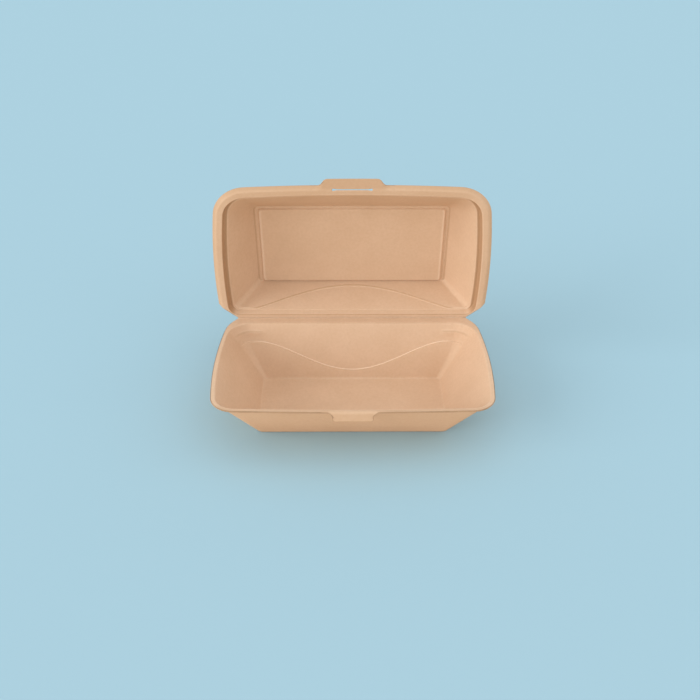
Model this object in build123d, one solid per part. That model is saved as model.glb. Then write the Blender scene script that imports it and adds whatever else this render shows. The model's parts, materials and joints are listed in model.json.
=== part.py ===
from build123d import *
import math
import os
from dataclasses import dataclass, replace

# Hinged takeaway box, pressed in one piece from a thin fibre sheet and shown open.
# Millimetres, +Z up. The origin is the centre of the foot's underside, the hinge is
# at +Y and the front with the locking tongue is at -Y.
# The lid moves, so the sheet is parted along the hinge crease into two nodes.

# Sheet
SHEET = 1.0
WALL_LEAN = 30.0
CREASE_GAP = 0.3
CREASE_LENGTH = 208.0
FOLD_RADIUS = 2.0

# Base tray
BASE_WIDTH = 235.0
BASE_DEPTH = 139.5
BASE_HEIGHT = 53.5
BASE_WIDEST = 75.8
BASE_SIDE_RADIUS = 430.0
BASE_FRONT_BOW = 2.5
BASE_FLANGE = 4.5
BASE_LAND = 8.5
BASE_FRONT_RADIUS = 20.0
BASE_BACK_RADIUS = 22.0
SHOULDER_DEPTH = 12.0
SHOULDER_RADIUS = 34.0
FOOT_WIDTH = 165.0
FOOT_DEPTH = 81.0
FOOT_SHIFT = 10.0
FOOT_RADIUS = 6.0

# Locking tongue on the base tray's front edge
TONGUE_WIDTH = 33.0
TONGUE_DROP = 9.5
TONGUE_FLARE = 3.0
TONGUE_CORNER = 2.5

# Lid tray, measured from the crease
LID_WIDTH = 242.0
LID_REACH = 141.1
LID_DEPTH = 41.5
LID_WIDEST = 40.6
LID_SIDE_RADIUS = 584.0
LID_FRONT_BOW = 3.6
LID_CORNER_RADIUS = 29.5
LID_CHAMFER_DEPTH = 15.0
LID_LEAN = 9.5

# Stepped rim of the lid, from its edge inwards
LIP_WIDTH = 4.0
LIP_DROP = 3.0
RIM_FLAT = 4.4
SKIRT_RUN = 1.3
SKIRT_DROP = 6.0
LEDGE_WIDTH = 3.0
HINGE_LAND = 4.0
HINGE_LEDGE = 1.2
RECESS_CORNER = 27.0

# Raised panel in the lid's flat top
TOP_WIDTH = 173.0
TOP_DEPTH = 85.2
TOP_SETBACK = 8.8
TOP_RADIUS = 4.0
PANEL_SIDE_BORDER = 4.5
PANEL_END_BORDER = 2.8
PANEL_RISE = 2.0
PANEL_BEVEL = 0.8
PANEL_RADIUS = 2.5

# Tab with its slot on the lid's front edge
TAB_ROOT = 53.0
TAB_TIP = 43.0
TAB_REACH = 6.1
TAB_TILT = 15.0
TAB_CORNER = 3.0
SLOT_CLEARANCE = 1.0
SLOT_WIDTH = 1.6
SLOT_SETBACK = 3.3

# Wave ledge pressed across each hinge-side wall. Its heights are shares of the wall from the
# rim, and its fullness is the share of its rise that it has half-way to its end.
WAVE_STEP = 1.4
WAVE_HALF = 86.0
BASE_WAVE_ENDS = 0.325
BASE_WAVE_MIDDLE = 0.87
BASE_WAVE_FULLNESS = 0.55
LID_WAVE_ENDS = 0.045
LID_WAVE_MIDDLE = 0.85
LID_WAVE_FULLNESS = 0.7

# Sizes that follow from those above
LEVEL_SHEET = SHEET / math.cos(math.radians(WALL_LEAN))
CREASE_Y = BASE_DEPTH / 2 - FOOT_SHIFT
FRONT_Y = CREASE_Y - BASE_DEPTH
WIDEST_Y = CREASE_Y - BASE_WIDEST
RIM_TOP = BASE_HEIGHT - CREASE_GAP / 2
LID_FACE = -CREASE_GAP / 2
LID_FRONT = LID_FRONT_BOW - LID_REACH
SLOT_Y = SLOT_SETBACK - LID_REACH
SLOT_LENGTH = TONGUE_WIDTH + 2 * SLOT_CLEARANCE
BEYOND = 1.0
FAR = 400.0


def drawn_in(radius, run):
    """How far a side of this radius has drawn in at this run from its widest point."""
    return 0 if math.isinf(radius) else radius - math.sqrt(radius**2 - run**2)


@dataclass
class Outline:
    """A rounded rectangle with bowed sides and front, its hinge side at +Y."""

    half_width: float
    front: float
    back: float
    widest: float
    side_radius: float
    front_bow: float
    front_radius: float
    back_radius: float

    def grown(self, side, front=None, back=None):
        """The outline moved outwards, by other amounts at the front and back if given."""
        front = side if front is None else front
        back = side if back is None else back
        return replace(
            self,
            half_width=self.half_width + side,
            front=self.front - front,
            back=self.back + back,
            side_radius=self.side_radius + side,
            front_radius=self.front_radius + side,
            back_radius=self.back_radius + side,
        )

    def rounded(self, radius):
        """The same outline with other corners."""
        return replace(self, front_radius=radius, back_radius=radius)

    def face(self, z):
        """The outline as a level face at height z."""
        half = self.half_width
        end = half - drawn_in(self.side_radius, self.front - self.widest)
        hinge_end = half - drawn_in(self.side_radius, self.back - self.widest)
        edges = [
            curved((end, self.front), (half, self.widest), (hinge_end, self.back)),
            Line((hinge_end, self.back), (-hinge_end, self.back)),
            curved((-hinge_end, self.back), (-half, self.widest), (-end, self.front)),
            curved((-end, self.front), (0, self.front - self.front_bow), (end, self.front)),
        ]
        sketch = make_face(edges)
        sketch = fillet(sketch.vertices().group_by(Axis.Y)[0], self.front_radius)
        sketch = fillet(sketch.vertices().group_by(Axis.Y)[-1], self.back_radius)
        return Pos(0, 0, z) * sketch


def curved(start, middle, end):
    """An arc through three points, or a line where they are in line."""
    first = (middle[0] - start[0]) * (end[1] - start[1])
    second = (middle[1] - start[1]) * (end[0] - start[0])
    in_line = math.isclose(first, second, abs_tol=1e-6)
    return Line(start, end) if in_line else ThreePointArc(start, middle, end)


def tapered(top, top_z, bottom, bottom_z):
    """A solid between two outlines."""
    return loft([top.face(top_z), bottom.face(bottom_z)])


def folded(top, top_z, bottom, bottom_z, radius):
    """A tapered tray form whose walls meet its floor in a fold of this radius."""
    form = tapered(top, top_z, bottom, bottom_z)
    return fillet(form.edges().group_by(Axis.Z)[0], radius)


def below_wave(ends_z, middle_z, fullness, bottom_z, back, reach):
    """A block below the wave line that runs from y = back forwards by its reach."""
    half_way_z = ends_z + fullness * (middle_z - ends_z)
    wave = Spline(
        (-WAVE_HALF, ends_z), (-WAVE_HALF / 2, half_way_z), (0, middle_z),
        (WAVE_HALF / 2, half_way_z), (WAVE_HALF, ends_z), tangents=[(1, 0), (1, 0)],
    )
    border = Polyline(
        (WAVE_HALF, ends_z), (FAR, ends_z), (FAR, bottom_z), (-FAR, bottom_z),
        (-FAR, ends_z), (-WAVE_HALF, ends_z),
    )
    profile = Plane.XZ * make_face([wave, *border.edges()])
    return Pos(0, back, 0) * extrude(profile, amount=reach)


def ledged(form, liner, ends_z, middle_z, fullness, bottom_z):
    """The form with its hinge-side wall drawn in to the liner below the wave line."""
    room = liner.bounding_box()
    back = room.max.Y + 2 * WAVE_STEP + BEYOND
    block = below_wave(ends_z, middle_z, fullness, bottom_z, back, room.size.Y / 2)
    return form - (block - liner)


def pressed_form(top, top_z, bottom, bottom_z, radius, wave, sink):
    """A tray form with its wave ledge, sunk by the sheet where it is the outer skin.

    The wave is given as its shares of the wall at the ends and middle, its fullness, and
    the wall's rim and floor heights.
    """
    form = folded(top, top_z, bottom, bottom_z, radius)
    roomier = top.grown(BEYOND, BEYOND, -WAVE_STEP)
    deeper = bottom.grown(BEYOND, BEYOND, -WAVE_STEP)
    liner = tapered(roomier, top_z, deeper, bottom_z - BEYOND)
    ends, middle, fullness, rim_z, floor_z = wave
    ends_z = rim_z - ends * (rim_z - floor_z) - sink
    middle_z = rim_z - middle * (rim_z - floor_z) - sink
    return ledged(form, liner, ends_z, middle_z, fullness, bottom_z - BEYOND)


def same_both_sides(solid):
    """The solid's right half, joined to its mirror image."""
    half = solid & Pos(FAR / 2, 0, 0) * Box(FAR, FAR, FAR)
    return half + mirror(half, about=Plane.YZ)


def base_rim_face(z):
    """The flange's outline: crease, shoulders, bowed sides and front."""
    half = BASE_WIDTH / 2
    crease = CREASE_Y - CREASE_GAP / 2
    shoulder = crease - SHOULDER_DEPTH
    end = half - drawn_in(BASE_SIDE_RADIUS, FRONT_Y - WIDEST_Y)
    hinge_end = half - drawn_in(BASE_SIDE_RADIUS, shoulder - WIDEST_Y)
    edges = [
        Line((-CREASE_LENGTH / 2, crease), (CREASE_LENGTH / 2, crease)),
        Line((CREASE_LENGTH / 2, crease), (hinge_end, shoulder)),
        curved((hinge_end, shoulder), (half, WIDEST_Y), (end, FRONT_Y)),
        curved((end, FRONT_Y), (0, FRONT_Y - BASE_FRONT_BOW), (-end, FRONT_Y)),
        curved((-end, FRONT_Y), (-half, WIDEST_Y), (-hinge_end, shoulder)),
        Line((-hinge_end, shoulder), (-CREASE_LENGTH / 2, crease)),
    ]
    sketch = make_face(edges)
    rows = sketch.vertices().group_by(Axis.Y)
    sketch = fillet(rows[0], BASE_FRONT_RADIUS)
    sketch = fillet(sketch.vertices().group_by(Axis.Y)[-2], SHOULDER_RADIUS)
    return Pos(0, 0, z) * sketch


def tongue():
    """The locking tongue: bent down from the flange's front edge, with flared roots."""
    front = FRONT_Y - BASE_FRONT_BOW
    bend = 2 * SHEET
    side = make_face(
        Polyline(
            (front + bend + SHEET, RIM_TOP), (front, RIM_TOP), (front, RIM_TOP - TONGUE_DROP),
            (front + SHEET, RIM_TOP - TONGUE_DROP), (front + SHEET, RIM_TOP - SHEET),
            (front + bend + SHEET, RIM_TOP - SHEET), close=True,
        )
    )
    outer = side.vertices().sort_by_distance((front, RIM_TOP))[0]
    side = fillet(outer, bend)
    inner = side.vertices().sort_by_distance((front + SHEET, RIM_TOP - SHEET))[0]
    side = fillet(inner, bend - SHEET)
    half = TONGUE_WIDTH / 2
    bent = extrude(Plane.YZ * side, amount=half + TONGUE_FLARE, both=True)
    low = RIM_TOP - TONGUE_DROP
    high = RIM_TOP - bend
    shape = make_face(
        Polyline(
            (-half, low), (half, low), (half, high), (half + TONGUE_FLARE, RIM_TOP + BEYOND),
            (-half - TONGUE_FLARE, RIM_TOP + BEYOND), (-half, high), close=True,
        )
    )
    shape = fillet(shape.vertices().group_by(Axis.Y)[0], TONGUE_CORNER)
    return bent & Pos(0, front + FAR / 4, 0) * extrude(Plane.XZ * shape, amount=FAR / 2)


def base_tray():
    """Foot, four sloped walls, wave ledge, flange and locking tongue."""
    cavity_rim = Outline(
        BASE_WIDTH / 2 - BASE_FLANGE, FRONT_Y + BASE_FLANGE, CREASE_Y - BASE_LAND, WIDEST_Y,
        BASE_SIDE_RADIUS - BASE_FLANGE, BASE_FRONT_BOW, BASE_FRONT_RADIUS - BASE_FLANGE,
        BASE_BACK_RADIUS,
    )
    foot = Outline(
        FOOT_WIDTH / 2, -FOOT_DEPTH / 2, FOOT_DEPTH / 2, 0, math.inf, 0, FOOT_RADIUS, FOOT_RADIUS
    )
    wave = (BASE_WAVE_ENDS, BASE_WAVE_MIDDLE, BASE_WAVE_FULLNESS, RIM_TOP, SHEET)
    inner_foot = foot.grown(-LEVEL_SHEET)
    hollow = pressed_form(cavity_rim, RIM_TOP, inner_foot, SHEET, FOLD_RADIUS, wave, 0)
    skin_rim = cavity_rim.grown(LEVEL_SHEET)
    skin = pressed_form(skin_rim, RIM_TOP, foot, 0, FOLD_RADIUS + SHEET, wave, SHEET)
    flange = extrude(base_rim_face(RIM_TOP - SHEET), amount=SHEET)
    return same_both_sides(skin + flange + tongue() - hollow)


def lid_outline():
    """The lid's outer edge, run on past the crease so that the trim shapes its hinge side."""
    return Outline(
        LID_WIDTH / 2, LID_FRONT, LIP_WIDTH + BEYOND, -LID_WIDEST, LID_SIDE_RADIUS,
        LID_FRONT_BOW, LID_CORNER_RADIUS, 2 * LIP_WIDTH,
    )


def lid_trim():
    """The plan that the lid is cut to at its hinge side: crease and two cut corners."""
    crease = -CREASE_GAP / 2
    half = LID_WIDTH / 2
    plan = make_face(
        Polyline(
            (-CREASE_LENGTH / 2, crease), (CREASE_LENGTH / 2, crease),
            (half, -LID_CHAMFER_DEPTH), (half, -FAR), (-half, -FAR), (-half, -LID_CHAMFER_DEPTH),
            close=True,
        )
    )
    return Pos(0, 0, -FAR / 2) * extrude(plan, amount=FAR)


def tab():
    """The pull tab: carries the flat on past the lip, tilted away from the opening."""
    reach = SLOT_SETBACK + TAB_REACH
    plan = make_face(
        Polyline(
            (-TAB_ROOT / 2, SKIRT_RUN), (TAB_ROOT / 2, SKIRT_RUN), (TAB_ROOT / 2, -SLOT_SETBACK),
            (TAB_TIP / 2, -reach), (-TAB_TIP / 2, -reach), (-TAB_ROOT / 2, -SLOT_SETBACK),
            close=True,
        )
    )
    plan = fillet(plan.vertices().group_by(Axis.Y)[0], TAB_CORNER)
    plate = extrude(plan, amount=-SHEET)
    return Pos(0, SLOT_Y, LID_FACE) * Rot(TAB_TILT, 0, 0) * plate


def lid_flat():
    """The lid as a tray with its opening up: crease along X at the origin, front at -Y."""
    edge = lid_outline()
    flat = edge.grown(-LIP_WIDTH)
    rim_width = LIP_WIDTH + RIM_FLAT
    recess = Outline(
        LID_WIDTH / 2 - rim_width, LID_FRONT + rim_width, -HINGE_LAND, -LID_WIDEST,
        LID_SIDE_RADIUS - rim_width, LID_FRONT_BOW, LID_CORNER_RADIUS - rim_width, RECESS_CORNER,
    )
    ledge = recess.grown(-SKIRT_RUN, -SKIRT_RUN, -HINGE_LEDGE)
    mouth = ledge.grown(-LEDGE_WIDTH, -LEDGE_WIDTH, 0)
    top = Outline(
        TOP_WIDTH / 2, -TOP_SETBACK - TOP_DEPTH, -TOP_SETBACK, -LID_WIDEST, math.inf, 0,
        TOP_RADIUS, TOP_RADIUS,
    )
    panel = top.grown(-PANEL_SIDE_BORDER, -PANEL_END_BORDER, -PANEL_END_BORDER)
    panel = panel.rounded(PANEL_RADIUS)

    lip = tapered(flat, LID_FACE, edge, LID_FACE - LIP_DROP)
    rim = lip - Pos(0, 0, -SHEET) * lip
    wave = (LID_WAVE_ENDS, LID_WAVE_MIDDLE, LID_WAVE_FULLNESS, -SKIRT_DROP, -LID_DEPTH)
    tub = pressed_form(
        mouth.grown(LEVEL_SHEET), -SKIRT_DROP, top.grown(LEVEL_SHEET), -LID_DEPTH - SHEET,
        FOLD_RADIUS + SHEET, wave, SHEET,
    )
    step = tapered(
        recess.grown(SHEET), LID_FACE, ledge.grown(SHEET), -SKIRT_DROP - SHEET
    )
    hollow = pressed_form(mouth, -SKIRT_DROP, top, -LID_DEPTH, FOLD_RADIUS, wave, 0)
    seat = tapered(recess, LID_FACE + BEYOND, ledge, -SKIRT_DROP)
    raised = tapered(
        panel, -LID_DEPTH + PANEL_RISE, panel.grown(PANEL_BEVEL), -LID_DEPTH
    )
    return rim, tub, step, hollow, seat, raised


def lid_tray():
    """Flat top with its raised panel, sloped walls, wave ledge, stepped rim and tab."""
    rim, tub, step, hollow, seat, raised = lid_flat()
    tray = rim + step + tub - seat - (hollow - raised)
    tray = tray - Pos(0, 0, -SHEET) * raised
    tab_room = Pos(0, SLOT_Y - FAR / 2, 0) * Box(TAB_ROOT, FAR, FAR)
    tray = (tray - tab_room) + tab()
    slot = Pos(0, SLOT_Y, 0) * Box(SLOT_LENGTH, SLOT_WIDTH, FAR)
    return same_both_sides((tray - slot) & lid_trim())


def opened(lid):
    """The lid turned from its tray pose to where it stands open over the crease."""
    return Pos(0, CREASE_Y, BASE_HEIGHT) * Rot(90 + LID_LEAN, 0, 0) * Rot(0, 0, 180) * lid


os.makedirs("parts", exist_ok=True)
nodes = {"base_tray": base_tray(), "lid_tray": opened(lid_tray())}
for name, solid in nodes.items():
    export_step(solid, f"parts/{name}.step")
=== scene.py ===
import json
import math

import bpy
import numpy as np
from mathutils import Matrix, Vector


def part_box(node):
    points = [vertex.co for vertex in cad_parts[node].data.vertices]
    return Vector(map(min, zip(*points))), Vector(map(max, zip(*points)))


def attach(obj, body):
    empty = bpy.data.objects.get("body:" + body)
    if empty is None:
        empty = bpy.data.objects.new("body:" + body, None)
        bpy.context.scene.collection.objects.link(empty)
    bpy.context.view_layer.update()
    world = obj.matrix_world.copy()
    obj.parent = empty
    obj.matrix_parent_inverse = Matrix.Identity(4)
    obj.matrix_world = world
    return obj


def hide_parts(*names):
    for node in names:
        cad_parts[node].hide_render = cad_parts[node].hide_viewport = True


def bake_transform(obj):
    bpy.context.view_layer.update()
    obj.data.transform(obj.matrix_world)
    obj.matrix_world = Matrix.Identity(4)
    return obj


# Hinged takeaway box in moulded fibre. Each tray is a grid of rings and columns pressed
# into shape: rings run round the tray, columns run from its middle out to its edge.
# Metres, in the same frame as the model: +Z up, hinge at +Y, front at -Y.

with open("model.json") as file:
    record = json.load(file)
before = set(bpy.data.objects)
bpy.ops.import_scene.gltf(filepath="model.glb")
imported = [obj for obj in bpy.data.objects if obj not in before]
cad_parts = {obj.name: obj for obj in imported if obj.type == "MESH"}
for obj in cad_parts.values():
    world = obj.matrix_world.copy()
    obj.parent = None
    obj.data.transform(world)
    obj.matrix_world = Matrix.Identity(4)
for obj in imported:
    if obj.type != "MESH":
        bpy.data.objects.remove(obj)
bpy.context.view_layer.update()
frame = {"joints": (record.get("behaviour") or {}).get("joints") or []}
base_low, base_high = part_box("base_tray")
hinge = next(j for j in frame["joints"] if j["name"] == "lid_hinge")["pos_m"]

# Sheet
SHEET = 0.0010
CREASE_GAP = 0.0003
WALL_LEAN = math.radians(30)
LEVEL_SHEET = SHEET / math.cos(WALL_LEAN)
CREASE_LENGTH = 0.208
FLOOR_FOLD = 0.0022
RIM_FOLD = 0.0014
EDGE_STEPS = 4
STRAIGHT = 60.0

# Base tray
BASE_WIDTH = base_high.x - base_low.x
CREASE_Y = hinge[1]
BASE_HEIGHT = hinge[2]
RIM_TOP = BASE_HEIGHT - CREASE_GAP / 2
WIDEST_Y = CREASE_Y - 0.0758
BASE_SIDE_RADIUS = 0.430
BASE_FRONT_BOW = 0.0025
FRONT_Y = base_low.y + BASE_FRONT_BOW
BASE_FLANGE = 0.0038
BASE_LAND = 0.0085
BASE_FRONT_RADIUS = 0.020
BASE_BACK_RADIUS = 0.022
SHOULDER_DEPTH = 0.012
SHOULDER_RADIUS = 0.034
SHOULDER_TURN = math.radians(14)
SHOULDER_CLEAR = 1.5 * SHEET
FOOT_WIDTH = 0.165
FOOT_DEPTH = 0.081
FOOT_RADIUS = 0.006

# Locking tongue
TONGUE_WIDTH = 0.033
TONGUE_DROP = 0.0095
TONGUE_FLARE = 0.0030
FLARE_REACH = 1.6 * TONGUE_FLARE
FLARE_LEAD = 1.5 * TONGUE_FLARE
TONGUE_CORNER = 0.0025
TONGUE_BEND = 0.0020
TONGUE_ZONE = 0.025

# Lid tray, in its own tray pose: opening up, crease along X at the origin, front at -Y
LID_WIDTH = 0.242
LID_REACH = 0.1411
LID_DEPTH = 0.0415
LID_WIDEST = -0.0406
LID_SIDE_RADIUS = 0.584
LID_FRONT_BOW = 0.0036
LID_FRONT = LID_FRONT_BOW - LID_REACH
LID_CORNER_RADIUS = 0.0295
LID_CHAMFER_DEPTH = 0.015
LID_LEAN = math.radians(9.5)
LIP_WIDTH = 0.0040
LIP_DROP = 0.0030
RIM_FLAT = 0.0044
RIM_START = 0.0018
RIM_START_SHARE = 0.4
SKIRT_RUN = 0.0013
SKIRT_DROP = 0.0060
LEDGE_WIDTH = 0.0030
HINGE_LAND = 0.0034
HINGE_LEDGE = 0.0010
LEAST_LEDGE = 0.0002
RECESS_CORNER = 0.010
SMALL_FOLD = 0.0010

# Raised panel in the lid's flat top
TOP_WIDTH = 0.173
TOP_DEPTH = 0.0852
TOP_SETBACK = 0.0088
TOP_RADIUS = 0.004
PANEL_SIDE_BORDER = 0.0045
PANEL_END_BORDER = 0.0028
PANEL_RISE = 0.0020
PANEL_BEVEL = 0.0008
PANEL_FOLD = 0.0012
PANEL_RADIUS = 0.0025

# Tab and slot on the lid's front edge
TAB_ROOT = 0.0545
TAB_TIP = 0.045
TAB_REACH = 0.0061
TAB_TILT = math.radians(15)
TAB_CORNER = 0.003
TAB_LEAD = 0.8 * TAB_CORNER
TAB_ZONE = 0.034
SLOT_LENGTH = 0.035
SLOT_WIDTH = 0.0009
SLOT_END = 0.0019
SLOT_SETBACK = 0.0033

# Wave ledge pressed across each hinge-side wall, at shares of the wall from the rim. A lower
# power makes a fuller wave.
WAVE_STEP = 0.0014
WAVE_BAND = 0.0006
WAVE_GUARD = 0.0003
BASE_WAVE = (0.325, 0.87)
BASE_WAVE_HALF = 0.086
BASE_WAVE_POWER = 0.85
LID_WAVE = (0.020, 0.85)
LID_WAVE_HALF = 0.088
LID_WAVE_POWER = 0.55

# Small step pressed into each hinge-side corner of the base, at shares of the wall from the rim
LUG_STEP = 0.0009
LUG_TOP = (0.125, 0.150)
LUG_FADE = (0.16, 0.27)
LUG_SPAN = (0.080, 0.084, 0.108, 0.112)
LUG_REACH = (0.014, 0.022)

# Strip along the crease: how far it reaches into the trays, and how far inside the sheet it lies
CREASE_TUCK = 0.0007
CREASE_INSET = 0.00005
CREASE_COLUMNS = 40

# Columns in half a tray: front, each corner, side and back. The near ones of the front take
# this share of the base's front, for the tongue.
FRONT_NEAR = 30
FRONT_FAR = 26
CORNER_COLUMNS = 20
SIDE_COLUMNS = 30
BACK_COLUMNS = 44
BASE_NEAR = 0.28

# Rings this share of a stretch from its folds keep the shading of the flats even
GUARD = 0.04
FLAT_SHARES = [0.2, 0.4, 0.6, 0.8, 1 - GUARD / 2]

# Rings of a wall below its wave ledge, over it and above it
RINGS_BELOW = 9
RINGS_OVER = 7
RINGS_ABOVE = 20
WAVE_TRIES = 12

# Rings of the base's flange and the lid's rim, and those that the slot lies between
FLANGE_RINGS = 16
RIM_RINGS = 18
SLOT_FIRST = 4
SLOT_LAST = 7

# Steps round the folds, from the middle out, and round other curves. A fold takes no more than
# this share of the stretches beside it.
BASE_FOLD_STEPS = [5, 5]
LID_FOLD_STEPS = [3, 3, 5, 4, 4, 4]
CURVE_STEPS = 12
FOLD_ROOM = 0.48

# Painted shade in the base's colour, where shade falls: under the wave ledge, along the corner
# steps, in the hinge-side fold, over the flange and its edge. Values under 0 paint a highlight on
# the ledge's crest.
BASE_SHADE_UNDER_WAVE = 0.55
BASE_HIGHLIGHT_OVER_WAVE = -0.60
BASE_SHADE_LUG = 0.45
BASE_SHADE_HINGE_FOLD = 0.35
BASE_SHADE_RIM = 0.08
BASE_SHADE_RIM_FRONT = 0.34
BASE_SHADE_EDGE = 0.20
BASE_SHADE_EDGE_FRONT = 0.65

# Painted shade in the lid's colour: in the rim's groove, on the hinge-side land, in the top's fold,
# under the wave ledge, over the rim, lip and edge. Under 0, at the panel's edge, it is a painted
# highlight.
LID_SHADE_UNDER_WAVE = 0.75
LID_SHADE_SKIRT_HINGE = 0.16
LID_SHADE_SKIRT_FRONT = 0.08
LID_SHADE_SKIRT_START = 0.5
LID_SHADE_LAND = 0.80
LID_SHADE_TOP_FOLD = 0.50
LID_HIGHLIGHT_PANEL_EDGE = -0.65
LID_SHADE_RIM = 0.38
LID_SHADE_RIM_SIDES = -0.20
LID_SHADE_LIP = 0.30
LID_SHADE_EDGE = 0.15

# Where that painted shade starts and where it is full: distances from the middle along the waves,
# shares of the wall at the corner steps, how far the rim faces each way, and plan places
BASE_WAVE_FADE = (BASE_WAVE_HALF + 0.004, BASE_WAVE_HALF - 0.006)
LID_WAVE_FADE = (LID_WAVE_HALF + 0.008, LID_WAVE_HALF - 0.002)
LUG_DARK_FADE = (0.014, 0.008)
FACES_HINGE = (0.9, 1.0)
FACES_FRONT = (0.6, 0.9)
FACES_SIDE = (0.25, 0.85)
NEAR_HINGE = (-0.03, -0.01)
LIP_FADE = (0, 0.7 * LIP_WIDTH)

# Fibre: scales of its noise, its colours and how much of each shows
CLOUD_SCALE = 38
PULP_SCALE = 420
STRAND_SCALE = 260
STRANDS = (
    ((1, 7, 7), (0.3, 0.5, 0.4)), ((7, 1, 7), (0.5, 0.2, 1.1)), ((7, 7, 1), (1.0, 0.6, 0.2)),
)
CLOUD_COLOURS = ((0.670, 0.468, 0.312, 1), (0.706, 0.502, 0.344, 1))
PULP_COLOUR = (0.60, 0.405, 0.26, 1)
PULP_SHARE = 0.35
STRAND_COLOUR = (0.77, 0.58, 0.43, 1)
STRAND_SHARE = 0.30
# Colour of the painted shade, colour of the painted highlights, and how far the painted shading
# goes toward them
PAINTED_SHADE_COLOUR = (0.40, 0.225, 0.11, 1)
PAINTED_HIGHLIGHT_COLOUR = (0.92, 0.74, 0.58, 1)
PAINTED_LIGHT_SHARE = 0.75
ROUGHNESS = (0.74, 0.90)
BUMP_HEIGHT = 0.00012

# Floor and backdrop: the colours that are seen, and those that light the box
FLOOR_SIZE = 6.0
FLOOR_COLOUR = (0.357, 0.545, 0.637, 1)
FLOOR_BOUNCE = (0.74, 0.64, 0.52, 1)
BACKDROP = (0.407, 0.623, 0.730, 1)
WORLD_LIGHT = (0.78, 0.78, 0.78, 1)

# Sun lights: name, strength, then azimuth, elevation and spread in degrees
LIGHTS = (
    ("key_light", 1.5, -65, 20, 40), ("side_light", 0.45, 70, 40, 60),
    ("top_light", 0.30, 0, 85, 60), ("front_light", 0.50, -5, 15, 60),
)

# Camera, fitted to the photograph: it looks at the target from this distance
CAMERA_TARGET = Vector((-0.0021, -0.010, 0.0645))
CAMERA_DISTANCE = 0.793
CAMERA_ELEVATION = math.radians(33.7)
CAMERA_AZIMUTH = math.radians(-0.2)
IMAGE_SIDE = 700
FOCAL_PIXELS = 938


def unit(vectors):
    """The vectors at length one."""
    return vectors / np.maximum(np.linalg.norm(vectors, axis=-1, keepdims=True), 1e-12)


def ease(share):
    """A smooth step from 0 to 1."""
    share = np.clip(share, 0, 1)
    return share * share * (3 - 2 * share)


def ramp(value, start, end):
    """A smooth step from 0 at the start to 1 at the end."""
    return ease((value - start) / (end - start))


def arc_points(centre, radius, start, end, count):
    """Points along an arc, from the start angle to the end angle."""
    angles = np.linspace(start, end, count + 1)
    return np.stack([centre[0] + radius * np.cos(angles), centre[1] + radius * np.sin(angles)], 1)


def circle_meeting(centre_a, radius_a, centre_b, radius_b, near):
    """The point where two circles meet that lies nearer to a given point."""
    apart = np.subtract(centre_b, centre_a)
    gap = np.hypot(*apart)
    along = (radius_a**2 - radius_b**2 + gap**2) / (2 * gap)
    aside = math.sqrt(max(radius_a**2 - along**2, 0))
    middle = centre_a + apart / gap * along
    normal = np.array([-apart[1], apart[0]]) / gap
    found = [middle + normal * aside, middle - normal * aside]
    return min(found, key=lambda p: np.hypot(*(p - near)))


class Outline:
    """The right half of a rounded rectangle with bowed sides, its hinge side at the back."""

    def __init__(self, half_width, front, back, widest, side_radius, front_bow, front_radius,
                 back_radius):
        self.half_width = half_width
        self.front = front
        self.back = back
        self.widest = widest
        self.side_radius = side_radius
        self.front_bow = front_bow
        self.front_radius = front_radius
        self.back_radius = back_radius

    def grown(self, side, front=None, back=None):
        """The outline moved outwards, by other amounts at the front and back if given."""
        front = side if front is None else front
        back = side if back is None else back
        return Outline(
            self.half_width + side, self.front - front, self.back + back, self.widest,
            self.side_radius + side, self.front_bow, self.front_radius + side,
            self.back_radius + side,
        )

    def rounded(self, radius):
        """The same outline with other corners."""
        other = self.grown(0)
        other.front_radius = other.back_radius = radius
        return other

    def half(self, near_share=0.5):
        """Plan points from the front's middle, round the right side, to the back's middle.

        The front's near columns take this share of it.
        """
        side_r = self.side_radius
        side_c = np.array([self.half_width - side_r, self.widest])
        end = side_c[0] + math.sqrt(side_r**2 - (self.front - self.widest)**2)
        front_bow = max(self.front_bow, end**2 / (2 * STRAIGHT))
        front_r = (end**2 + front_bow**2) / (2 * front_bow)
        front_c = np.array([0.0, self.front - front_bow + front_r])
        radius = self.front_radius
        corner = circle_meeting(
            front_c, front_r - radius, side_c, side_r - radius, np.array([end, self.front])
        )
        toward_front = unit(corner - front_c)
        toward_side = unit(corner - side_c)
        front_angle = math.atan2(toward_front[1], toward_front[0])
        side_angle = math.atan2(toward_side[1], toward_side[0])
        reach = math.pi / 2 + front_angle
        shares = np.concatenate([
            np.linspace(0, near_share, FRONT_NEAR + 1),
            np.linspace(near_share, 1, FRONT_FAR + 1)[1:],
        ])
        angles = -math.pi / 2 + reach * shares
        front = np.stack(
            [front_c[0] + front_r * np.cos(angles), front_c[1] + front_r * np.sin(angles)], 1
        )
        front_corner = arc_points(corner, radius, front_angle, side_angle, CORNER_COLUMNS)
        back_y = self.back - self.back_radius
        back_x = side_c[0] + math.sqrt((side_r - self.back_radius)**2 - (back_y - self.widest)**2)
        back_angle = math.atan2(back_y - self.widest, back_x - side_c[0])
        back_corner = arc_points(
            (back_x, back_y), self.back_radius, back_angle, math.pi / 2, CORNER_COLUMNS
        )
        side = arc_points(side_c, side_r, side_angle, back_angle, SIDE_COLUMNS)
        back_x = np.linspace(back_corner[-1, 0], 0, BACK_COLUMNS + 1)
        back = np.stack([back_x, np.full_like(back_x, self.back)], 1)
        return np.concatenate([front, front_corner[1:], side[1:], back_corner[1:], back[1:]])


def soft_path(points, lead):
    """The points joined by lines, with each inner corner rounded from this far before it."""
    points = [np.asarray(p, float) for p in points]
    path = [points[0]]
    for before, corner, after in zip(points, points[1:], points[2:]):
        a = corner + unit(before - corner) * min(lead, np.hypot(*(before - corner)))
        b = corner + unit(after - corner) * min(lead, np.hypot(*(after - corner)))
        for share in np.linspace(0, 1, CURVE_STEPS + 1):
            path.append((1 - share)**2 * a + 2 * share * (1 - share) * corner + share**2 * b)
    path.append(points[-1])
    return np.array(path)


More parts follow.
